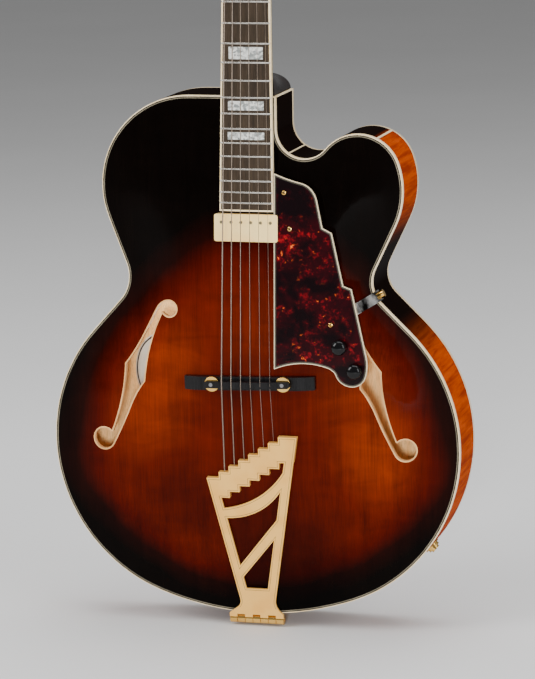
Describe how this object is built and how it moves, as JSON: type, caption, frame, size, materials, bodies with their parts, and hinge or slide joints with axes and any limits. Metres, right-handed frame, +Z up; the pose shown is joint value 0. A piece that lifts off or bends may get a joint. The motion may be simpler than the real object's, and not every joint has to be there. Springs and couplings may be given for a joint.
{
  "type": "archtop guitar",
  "caption": "Archtop guitar with a rounded cutaway, carved plates, f-holes, a floating pickup and pickguard, and a stepped hinged tailpiece.",
  "frame": {"origin": "where the end pin seats in the tail of the body, on the centre line and halfway through the rim's depth", "axes": "+Z up along the neck, +X towards the treble side with the cutaway, the front faces -Y"},
  "size_m": [0.432, 0.1311, 1.0832],
  "materials": {
    "sunburst_top": "glossy lacquer, sunburst from amber to near black",
    "flamed_maple": "glossy lacquer over flamed maple",
    "raw_wood": "unfinished",
    "cream_binding": "glossy",
    "dark_neck": "glossy dark lacquer",
    "ebony": "polished",
    "fingerboard_wood": "oiled",
    "fret_silver": "polished",
    "pearl": "pearly",
    "bone": "smooth",
    "steel": "plain",
    "black_gloss": "glossy",
    "black_matte": "matte",
    "gold": "polished gold plate",
    "satin_gold": "satin gold plate",
    "tortoise": "glossy, mottled dark red",
    "bright_chrome": "bright",
    "string_steel": "plain and wound",
    "black_rubber": "matte"
  },
  "bodies": {
    "guitar": {"top_plate": "sunburst_top", "f_hole_bindings": "cream_binding", "back_plate": "flamed_maple", "rim_bass": "flamed_maple", "rim_treble": "flamed_maple", "body_binding": "cream_binding", "neck_block": "raw_wood", "tail_block": "raw_wood", "rim_linings": "raw_wood", "tone_bars": "raw_wood", "heel_cap": "ebony", "neck": "dark_neck", "fingerboard": "fingerboard_wood", "fingerboard_binding": "cream_binding", "frets": "fret_silver", "block_inlays": "pearl", "nut": "bone", "headstock_overlay": "ebony", "truss_rod_cover": "black_gloss", "truss_rod": "steel", "tuner_housings": "gold", "tuner_bushings": "gold", "string_1": "string_steel", "string_2": "string_steel", "string_3": "string_steel", "string_4": "string_steel", "string_5": "string_steel", "string_6": "string_steel", "bridge_base": "ebony", "bridge_studs": "gold", "tailpiece_bracket": "satin_gold", "tailpiece_hinge_pin": "gold", "pickguard": "tortoise", "pickguard_binding": "cream_binding", "potentiometers": "steel", "pickguard_bracket": "bright_chrome", "pickup_cover": "satin_gold", "pickup_coils": "black_matte", "end_pin": "gold", "output_jack": "gold", "gold_screws": "gold", "wiring": "black_rubber"},
    "button_1": {"tuner_button_1": "gold"},
    "post_1": {"tuner_post_1": "gold"},
    "button_2": {"tuner_button_2": "gold"},
    "post_2": {"tuner_post_2": "gold"},
    "button_3": {"tuner_button_3": "gold"},
    "post_3": {"tuner_post_3": "gold"},
    "button_4": {"tuner_button_4": "gold"},
    "post_4": {"tuner_post_4": "gold"},
    "button_5": {"tuner_button_5": "gold"},
    "post_5": {"tuner_post_5": "gold"},
    "button_6": {"tuner_button_6": "gold"},
    "post_6": {"tuner_post_6": "gold"},
    "volume_knob": {"knob_volume": "black_gloss"},
    "tone_knob": {"knob_tone": "black_gloss"},
    "saddle": {"bridge_saddle": "ebony"},
    "wheel_bass": {"thumbwheel_bass": "gold"},
    "wheel_treble": {"thumbwheel_treble": "gold"},
    "tailpiece": {"tailpiece_frame": "satin_gold"}
  },
  "joints": [
    {"name": "tuner_button_1_turn", "type": "hinge", "parent": "guitar", "child": "button_1", "pos_m": [0.021, -0.00477, 0.93489], "axis": [1, 0, 0], "continuous": true},
    {"name": "tuner_post_1_turn", "type": "hinge", "parent": "guitar", "child": "post_1", "pos_m": [0.021, -0.01871, 0.94651], "axis": [0, -0.9573, 0.289], "continuous": true},
    {"name": "tuner_button_2_turn", "type": "hinge", "parent": "guitar", "child": "button_2", "pos_m": [0.021, 0.00621, 0.97127], "axis": [1, 0, 0], "continuous": true},
    {"name": "tuner_post_2_turn", "type": "hinge", "parent": "guitar", "child": "post_2", "pos_m": [0.021, -0.00772, 0.98289], "axis": [0, -0.9573, 0.289], "continuous": true},
    {"name": "tuner_button_3_turn", "type": "hinge", "parent": "guitar", "child": "button_3", "pos_m": [0.021, 0.01719, 1.00765], "axis": [1, 0, 0], "continuous": true},
    {"name": "tuner_post_3_turn", "type": "hinge", "parent": "guitar", "child": "post_3", "pos_m": [0.021, 0.00326, 1.01927], "axis": [0, -0.9573, 0.289], "continuous": true},
    {"name": "tuner_button_4_turn", "type": "hinge", "parent": "guitar", "child": "button_4", "pos_m": [-0.021, 0.01719, 1.00765], "axis": [-1, 0, 0], "continuous": true},
    {"name": "tuner_post_4_turn", "type": "hinge", "parent": "guitar", "child": "post_4", "pos_m": [-0.021, 0.00326, 1.01927], "axis": [0, -0.9573, 0.289], "continuous": true},
    {"name": "tuner_button_5_turn", "type": "hinge", "parent": "guitar", "child": "button_5", "pos_m": [-0.021, 0.00621, 0.97127], "axis": [-1, 0, 0], "continuous": true},
    {"name": "tuner_post_5_turn", "type": "hinge", "parent": "guitar", "child": "post_5", "pos_m": [-0.021, -0.00772, 0.98289], "axis": [0, -0.9573, 0.289], "continuous": true},
    {"name": "tuner_button_6_turn", "type": "hinge", "parent": "guitar", "child": "button_6", "pos_m": [-0.021, -0.00477, 0.93489], "axis": [-1, 0, 0], "continuous": true},
    {"name": "tuner_post_6_turn", "type": "hinge", "parent": "guitar", "child": "post_6", "pos_m": [-0.021, -0.01871, 0.94651], "axis": [0, -0.9573, 0.289], "continuous": true},
    {"name": "volume_knob_turn", "type": "hinge", "parent": "guitar", "child": "volume_knob", "pos_m": [0.0989, -0.06582, 0.29086], "axis": [0, -0.9985, 0.0544], "range_deg": [-150, 150]},
    {"name": "tone_knob_turn", "type": "hinge", "parent": "guitar", "child": "tone_knob", "pos_m": [0.1146, -0.06711, 0.2671], "axis": [0, -0.9985, 0.0544], "range_deg": [-150, 150]},
    {"name": "saddle_lift", "type": "slide", "parent": "guitar", "child": "saddle", "axis": [0, -1, 0], "range_m": [-0.001, 0.001], "deforming": ["string_1", "string_2", "string_3", "string_4", "string_5", "string_6"]},
    {"name": "thumbwheel_bass_turn", "type": "hinge", "parent": "saddle", "child": "wheel_bass", "pos_m": [-0.03759, -0.06334, 0.24726], "axis": [0, -1, 0], "range_deg": [-455, 455]},
    {"name": "thumbwheel_treble_turn", "type": "hinge", "parent": "saddle", "child": "wheel_treble", "pos_m": [0.03759, -0.06334, 0.24918], "axis": [0, -1, 0], "range_deg": [-455, 455]},
    {"name": "tailpiece_hinge", "type": "hinge", "parent": "guitar", "child": "tailpiece", "pos_m": [0, -0.0365, -0.0062], "axis": [1, 0, 0], "range_deg": [-0.3, 1.5], "stiffness_Nm_per_rad": 300, "deforming": ["string_1", "string_2", "string_3", "string_4", "string_5", "string_6"]}
  ],
  "couplings": [
    {"joint": "tuner_post_1_turn", "follows": "tuner_button_1_turn", "ratio": 0.0625},
    {"joint": "tuner_post_2_turn", "follows": "tuner_button_2_turn", "ratio": 0.0625},
    {"joint": "tuner_post_3_turn", "follows": "tuner_button_3_turn", "ratio": 0.0625},
    {"joint": "tuner_post_4_turn", "follows": "tuner_button_4_turn", "ratio": -0.0625},
    {"joint": "tuner_post_5_turn", "follows": "tuner_button_5_turn", "ratio": -0.0625},
    {"joint": "tuner_post_6_turn", "follows": "tuner_button_6_turn", "ratio": -0.0625},
    {"joint": "thumbwheel_bass_turn", "follows": "saddle_lift", "rad_per_m": 7854},
    {"joint": "thumbwheel_treble_turn", "follows": "saddle_lift", "rad_per_m": 7854}
  ]
}
